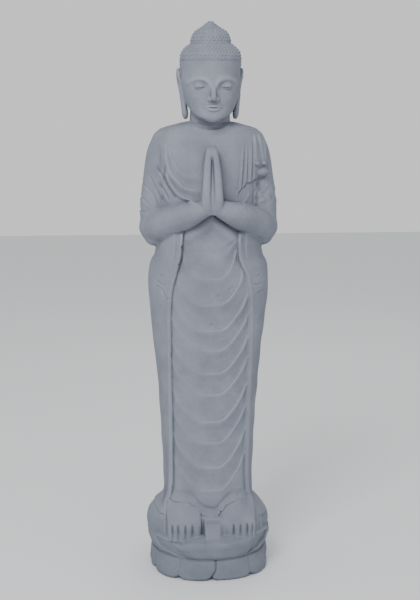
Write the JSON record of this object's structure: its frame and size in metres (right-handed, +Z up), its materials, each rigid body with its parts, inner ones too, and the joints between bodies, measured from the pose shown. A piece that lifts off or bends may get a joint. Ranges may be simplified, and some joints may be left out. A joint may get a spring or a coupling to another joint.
{
  "type": "standing buddha statue",
  "caption": "Tall carved stone figure standing with joined palms in a long pleated robe, on a low round lotus base cut from the same block.",
  "frame": {"origin": "middle of the flat underside of the round lotus base", "axes": "+Z up through the topknot, the figure faces -Y and its own left arm is on +X"},
  "size_m": [0.3712, 0.3415, 1.5],
  "materials": {
    "stone": "matte blue-grey volcanic stone, hand carved and rubbed smooth, with fine pits"
  },
  "bodies": {
    "root": {"standing_figure": "stone"}
  },
  "joints": []
}
